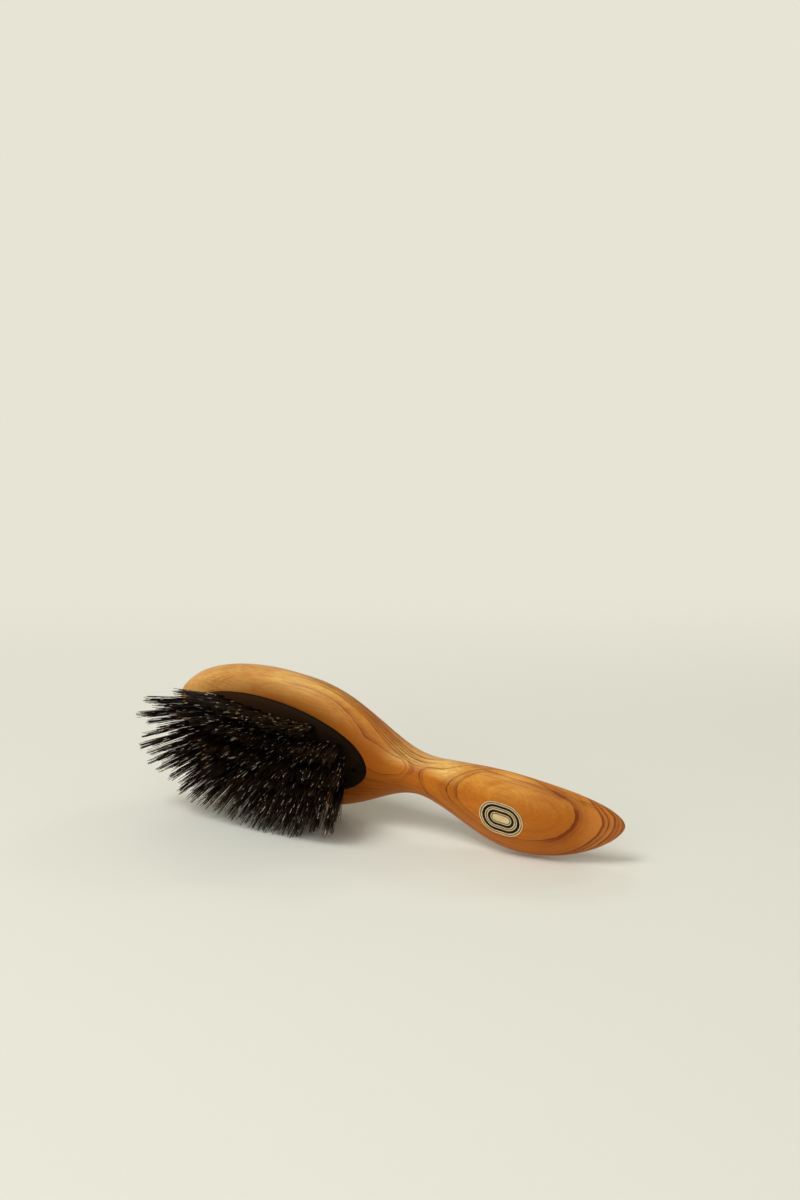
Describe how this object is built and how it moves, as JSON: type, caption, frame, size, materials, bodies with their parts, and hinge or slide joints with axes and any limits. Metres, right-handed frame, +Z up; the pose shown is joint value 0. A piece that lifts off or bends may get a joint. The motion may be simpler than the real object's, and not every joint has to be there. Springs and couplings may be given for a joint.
{
  "type": "hair grooming brush",
  "caption": "Oval wooden cushion brush with splayed bristle tufts on a domed rubber pad that gives as it is pressed, lying on its side.",
  "frame": {"origin": "under the middle of the brush as it lies on its side, on the surface that it lies on", "axes": "+X along the brush from the toe of the head to the tip of the handle, -Y out of the bristle face, +Z up"},
  "size_m": [0.2264, 0.06, 0.0696],
  "materials": {
    "olive_wood": "satin oiled olive wood with fine dark grain lines",
    "cushion_rubber": "matte black rubber with a faint sheen",
    "bristle": "black to dark brown bristle with paler tips",
    "staple_steel": "plain drawn steel",
    "badge_brass": "pale polished brass",
    "black_enamel": "black enamel",
    "clear_glue": "cured glue film"
  },
  "bodies": {
    "handle_body": {"wood_body": "olive_wood", "rubber_cushion": "cushion_rubber", "badge_plate": "badge_brass", "badge_infill": "black_enamel", "badge_adhesive": "clear_glue"},
    "row_1": {"tuft_row_1": "bristle", "anchor_row_1": "staple_steel"},
    "row_2": {"tuft_row_2": "bristle", "anchor_row_2": "staple_steel"},
    "row_3": {"tuft_row_3": "bristle", "anchor_row_3": "staple_steel"},
    "row_4": {"tuft_row_4": "bristle", "anchor_row_4": "staple_steel"},
    "row_5": {"tuft_row_5": "bristle", "anchor_row_5": "staple_steel"},
    "row_6": {"tuft_row_6": "bristle", "anchor_row_6": "staple_steel"},
    "row_7": {"tuft_row_7": "bristle", "anchor_row_7": "staple_steel"}
  },
  "joints": [
    {"name": "row_1_press", "type": "slide", "parent": "handle_body", "child": "row_1", "axis": [0.0308, 0.974, 0.2246], "range_m": [0, 0.0025], "stiffness_N_per_m": 240, "deforming": ["rubber_cushion"]},
    {"name": "row_2_press", "type": "slide", "parent": "handle_body", "child": "row_2", "axis": [0.0308, 0.974, 0.2246], "range_m": [0, 0.0025], "stiffness_N_per_m": 240, "deforming": ["rubber_cushion"]},
    {"name": "row_3_press", "type": "slide", "parent": "handle_body", "child": "row_3", "axis": [0.0308, 0.974, 0.2246], "range_m": [0, 0.0025], "stiffness_N_per_m": 240, "deforming": ["rubber_cushion"]},
    {"name": "row_4_press", "type": "slide", "parent": "handle_body", "child": "row_4", "axis": [0.0308, 0.974, 0.2246], "range_m": [0, 0.0025], "stiffness_N_per_m": 240, "deforming": ["rubber_cushion"]},
    {"name": "row_5_press", "type": "slide", "parent": "handle_body", "child": "row_5", "axis": [0.0308, 0.974, 0.2246], "range_m": [0, 0.0025], "stiffness_N_per_m": 240, "deforming": ["rubber_cushion"]},
    {"name": "row_6_press", "type": "slide", "parent": "handle_body", "child": "row_6", "axis": [0.0308, 0.974, 0.2246], "range_m": [0, 0.0025], "stiffness_N_per_m": 240, "deforming": ["rubber_cushion"]},
    {"name": "row_7_press", "type": "slide", "parent": "handle_body", "child": "row_7", "axis": [0.0308, 0.974, 0.2246], "range_m": [0, 0.0025], "stiffness_N_per_m": 240, "deforming": ["rubber_cushion"]}
  ]
}
